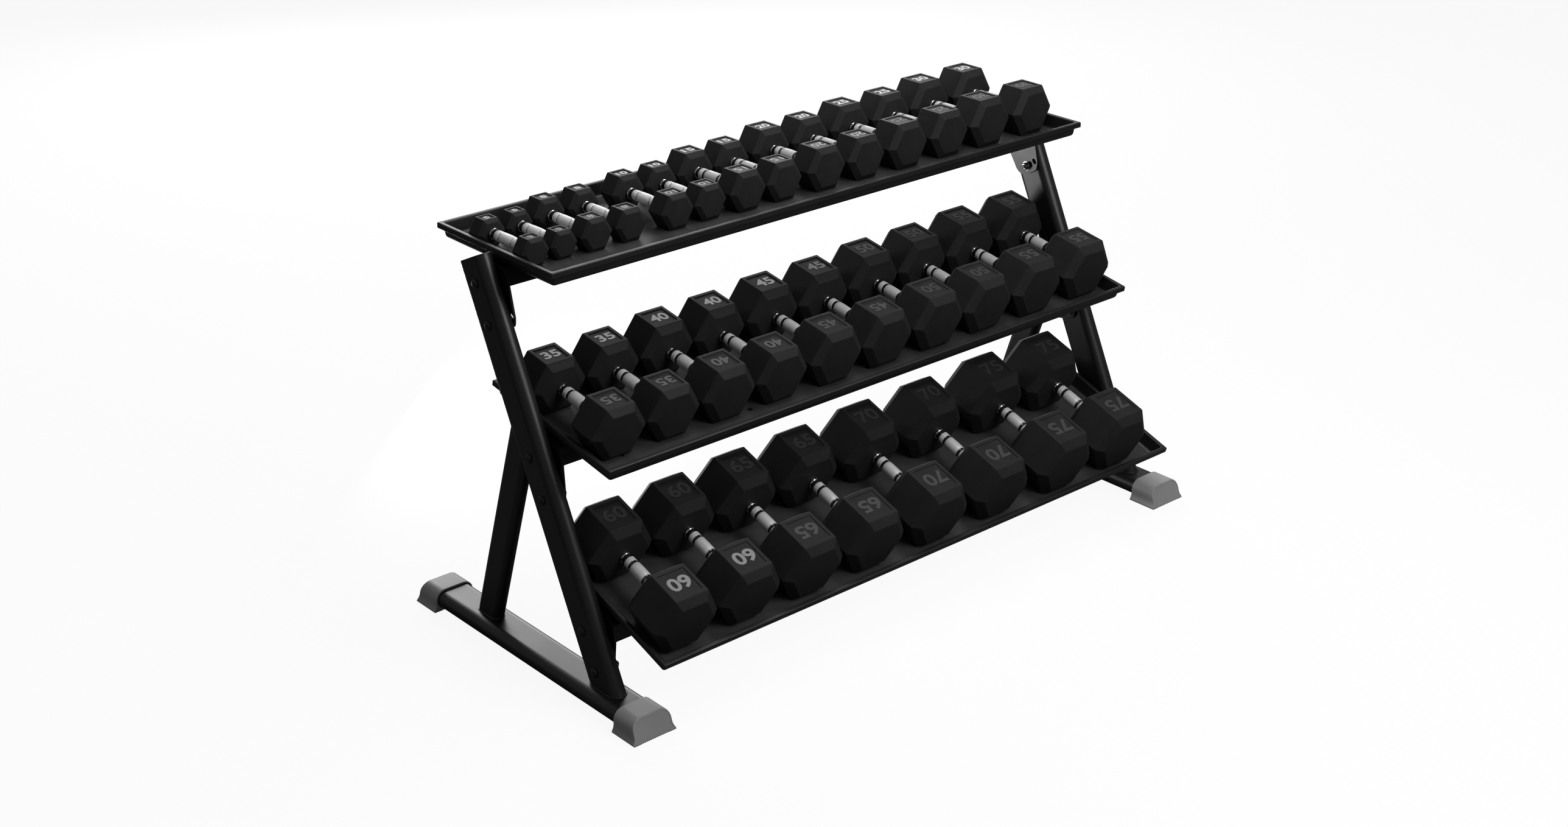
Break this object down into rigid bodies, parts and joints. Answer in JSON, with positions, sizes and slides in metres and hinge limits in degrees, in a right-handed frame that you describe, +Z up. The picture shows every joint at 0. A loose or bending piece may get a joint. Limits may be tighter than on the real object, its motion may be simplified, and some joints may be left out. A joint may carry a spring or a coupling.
{
  "type": "dumbbell rack",
  "caption": "Tiered steel rack on two leaning side frames, with tilting pressed trays that hold a graded set of hexagonal dumbbells.",
  "frame": {"origin": "on the floor, under the centre of the bounding box", "axes": "+X along the trays, towards the rack's right; -Y towards the person in front of it; +Z up"},
  "size_m": [1.7728, 0.8467, 1.0204],
  "materials": {
    "frame": "satin black powder coat",
    "tray": "satin black powder coat",
    "foot_cap": "moulded grey plastic, fine texture",
    "end_cap": "moulded black plastic",
    "bolt": "black zinc",
    "dumbbell": "rubber-coated iron heads, chromed steel handle"
  },
  "bodies": {
    "frame": {"base_tube_left": "frame", "rear_leg_left": "frame", "foot_cap_front_left": "foot_cap", "foot_cap_rear_left": "foot_cap", "upright_left": "frame", "end_cap_left": "end_cap", "base_tube_right": "frame", "rear_leg_right": "frame", "foot_cap_front_right": "foot_cap", "foot_cap_rear_right": "foot_cap", "upright_right": "frame", "end_cap_right": "end_cap", "pivot_bolt_bottom_left": "bolt", "pivot_bolt_bottom_right": "bolt", "pivot_bolt_middle_left": "bolt", "pivot_bolt_middle_right": "bolt", "pivot_bolt_top_left": "bolt", "pivot_bolt_top_right": "bolt"},
    "bottom_tray": {"tray_bottom": "tray", "cradle_bottom": "frame"},
    "middle_tray": {"tray_middle": "tray", "cradle_middle": "frame"},
    "top_tray": {"tray_top": "tray", "cradle_top": "frame"},
    "dumbbell_60_left": {"dumbbell_60_left": "dumbbell"},
    "dumbbell_60_right": {"dumbbell_60_right": "dumbbell"},
    "dumbbell_65_left": {"dumbbell_65_left": "dumbbell"},
    "dumbbell_65_right": {"dumbbell_65_right": "dumbbell"},
    "dumbbell_70_left": {"dumbbell_70_left": "dumbbell"},
    "dumbbell_70_right": {"dumbbell_70_right": "dumbbell"},
    "dumbbell_75_left": {"dumbbell_75_left": "dumbbell"},
    "dumbbell_75_right": {"dumbbell_75_right": "dumbbell"},
    "dumbbell_35_left": {"dumbbell_35_left": "dumbbell"},
    "dumbbell_35_right": {"dumbbell_35_right": "dumbbell"},
    "dumbbell_40_left": {"dumbbell_40_left": "dumbbell"},
    "dumbbell_40_right": {"dumbbell_40_right": "dumbbell"},
    "dumbbell_45_left": {"dumbbell_45_left": "dumbbell"},
    "dumbbell_45_right": {"dumbbell_45_right": "dumbbell"},
    "dumbbell_50_left": {"dumbbell_50_left": "dumbbell"},
    "dumbbell_50_right": {"dumbbell_50_right": "dumbbell"},
    "dumbbell_55_left": {"dumbbell_55_left": "dumbbell"},
    "dumbbell_55_right": {"dumbbell_55_right": "dumbbell"},
    "dumbbell_5_left": {"dumbbell_5_left": "dumbbell"},
    "dumbbell_5_right": {"dumbbell_5_right": "dumbbell"},
    "dumbbell_8_left": {"dumbbell_8_left": "dumbbell"},
    "dumbbell_8_right": {"dumbbell_8_right": "dumbbell"},
    "dumbbell_10_left": {"dumbbell_10_left": "dumbbell"},
    "dumbbell_10_right": {"dumbbell_10_right": "dumbbell"},
    "dumbbell_15_left": {"dumbbell_15_left": "dumbbell"},
    "dumbbell_15_right": {"dumbbell_15_right": "dumbbell"},
    "dumbbell_20_left": {"dumbbell_20_left": "dumbbell"},
    "dumbbell_20_right": {"dumbbell_20_right": "dumbbell"},
    "dumbbell_25_left": {"dumbbell_25_left": "dumbbell"},
    "dumbbell_25_right": {"dumbbell_25_right": "dumbbell"},
    "dumbbell_30_left": {"dumbbell_30_left": "dumbbell"},
    "dumbbell_30_right": {"dumbbell_30_right": "dumbbell"}
  },
  "joints": [
    {"name": "bottom_tray_tilt", "type": "hinge", "parent": "frame", "child": "bottom_tray", "pos_m": [0, -0.18878, 0.1693], "axis": [1, 0, 0], "range_deg": [-19.2, 0]},
    {"name": "middle_tray_tilt", "type": "hinge", "parent": "frame", "child": "middle_tray", "pos_m": [0, -0.02243, 0.5165], "axis": [1, 0, 0], "range_deg": [-9.6, 9.6]},
    {"name": "top_tray_tilt", "type": "hinge", "parent": "frame", "child": "top_tray", "pos_m": [0, 0.14392, 0.86371], "axis": [1, 0, 0], "range_deg": [0, 19.2]},
    {"name": "dumbbell_60_left_lift", "type": "slide", "parent": "bottom_tray", "child": "dumbbell_60_left", "axis": [0, -0.8949, 0.4462], "range_m": [0, 0.45]},
    {"name": "dumbbell_60_right_lift", "type": "slide", "parent": "bottom_tray", "child": "dumbbell_60_right", "axis": [0, -0.8949, 0.4462], "range_m": [0, 0.45]},
    {"name": "dumbbell_65_left_lift", "type": "slide", "parent": "bottom_tray", "child": "dumbbell_65_left", "axis": [0, -0.8949, 0.4462], "range_m": [0, 0.45]},
    {"name": "dumbbell_65_right_lift", "type": "slide", "parent": "bottom_tray", "child": "dumbbell_65_right", "axis": [0, -0.8949, 0.4462], "range_m": [0, 0.45]},
    {"name": "dumbbell_70_left_lift", "type": "slide", "parent": "bottom_tray", "child": "dumbbell_70_left", "axis": [0, -0.8949, 0.4462], "range_m": [0, 0.45]},
    {"name": "dumbbell_70_right_lift", "type": "slide", "parent": "bottom_tray", "child": "dumbbell_70_right", "axis": [0, -0.8949, 0.4462], "range_m": [0, 0.45]},
    {"name": "dumbbell_75_left_lift", "type": "slide", "parent": "bottom_tray", "child": "dumbbell_75_left", "axis": [0, -0.8949, 0.4462], "range_m": [0, 0.45]},
    {"name": "dumbbell_75_right_lift", "type": "slide", "parent": "bottom_tray", "child": "dumbbell_75_right", "axis": [0, -0.8949, 0.4462], "range_m": [0, 0.45]},
    {"name": "dumbbell_35_left_lift", "type": "slide", "parent": "middle_tray", "child": "dumbbell_35_left", "axis": [0, -0.866, 0.5], "range_m": [0, 0.48]},
    {"name": "dumbbell_35_right_lift", "type": "slide", "parent": "middle_tray", "child": "dumbbell_35_right", "axis": [0, -0.866, 0.5], "range_m": [0, 0.48]},
    {"name": "dumbbell_40_left_lift", "type": "slide", "parent": "middle_tray", "child": "dumbbell_40_left", "axis": [0, -0.866, 0.5], "range_m": [0, 0.48]},
    {"name": "dumbbell_40_right_lift", "type": "slide", "parent": "middle_tray", "child": "dumbbell_40_right", "axis": [0, -0.866, 0.5], "range_m": [0, 0.48]},
    {"name": "dumbbell_45_left_lift", "type": "slide", "parent": "middle_tray", "child": "dumbbell_45_left", "axis": [0, -0.866, 0.5], "range_m": [0, 0.48]},
    {"name": "dumbbell_45_right_lift", "type": "slide", "parent": "middle_tray", "child": "dumbbell_45_right", "axis": [0, -0.866, 0.5], "range_m": [0, 0.48]},
    {"name": "dumbbell_50_left_lift", "type": "slide", "parent": "middle_tray", "child": "dumbbell_50_left", "axis": [0, -0.866, 0.5], "range_m": [0, 0.48]},
    {"name": "dumbbell_50_right_lift", "type": "slide", "parent": "middle_tray", "child": "dumbbell_50_right", "axis": [0, -0.866, 0.5], "range_m": [0, 0.48]},
    {"name": "dumbbell_55_left_lift", "type": "slide", "parent": "middle_tray", "child": "dumbbell_55_left", "axis": [0, -0.866, 0.5], "range_m": [0, 0.48]},
    {"name": "dumbbell_55_right_lift", "type": "slide", "parent": "middle_tray", "child": "dumbbell_55_right", "axis": [0, -0.866, 0.5], "range_m": [0, 0.48]},
    {"name": "dumbbell_5_left_lift", "type": "slide", "parent": "top_tray", "child": "dumbbell_5_left", "axis": [0, 0, 1], "range_m": [0, 0.25]},
    {"name": "dumbbell_5_right_lift", "type": "slide", "parent": "top_tray", "child": "dumbbell_5_right", "axis": [0, 0, 1], "range_m": [0, 0.25]},
    {"name": "dumbbell_8_left_lift", "type": "slide", "parent": "top_tray", "child": "dumbbell_8_left", "axis": [0, 0, 1], "range_m": [0, 0.25]},
    {"name": "dumbbell_8_right_lift", "type": "slide", "parent": "top_tray", "child": "dumbbell_8_right", "axis": [0, 0, 1], "range_m": [0, 0.25]},
    {"name": "dumbbell_10_left_lift", "type": "slide", "parent": "top_tray", "child": "dumbbell_10_left", "axis": [0, 0, 1], "range_m": [0, 0.25]},
    {"name": "dumbbell_10_right_lift", "type": "slide", "parent": "top_tray", "child": "dumbbell_10_right", "axis": [0, 0, 1], "range_m": [0, 0.25]},
    {"name": "dumbbell_15_left_lift", "type": "slide", "parent": "top_tray", "child": "dumbbell_15_left", "axis": [0, 0, 1], "range_m": [0, 0.25]},
    {"name": "dumbbell_15_right_lift", "type": "slide", "parent": "top_tray", "child": "dumbbell_15_right", "axis": [0, 0, 1], "range_m": [0, 0.25]},
    {"name": "dumbbell_20_left_lift", "type": "slide", "parent": "top_tray", "child": "dumbbell_20_left", "axis": [0, 0, 1], "range_m": [0, 0.25]},
    {"name": "dumbbell_20_right_lift", "type": "slide", "parent": "top_tray", "child": "dumbbell_20_right", "axis": [0, 0, 1], "range_m": [0, 0.25]},
    {"name": "dumbbell_25_left_lift", "type": "slide", "parent": "top_tray", "child": "dumbbell_25_left", "axis": [0, 0, 1], "range_m": [0, 0.25]},
    {"name": "dumbbell_25_right_lift", "type": "slide", "parent": "top_tray", "child": "dumbbell_25_right", "axis": [0, 0, 1], "range_m": [0, 0.25]},
    {"name": "dumbbell_30_left_lift", "type": "slide", "parent": "top_tray", "child": "dumbbell_30_left", "axis": [0, 0, 1], "range_m": [0, 0.25]},
    {"name": "dumbbell_30_right_lift", "type": "slide", "parent": "top_tray", "child": "dumbbell_30_right", "axis": [0, 0, 1], "range_m": [0, 0.25]}
  ]
}
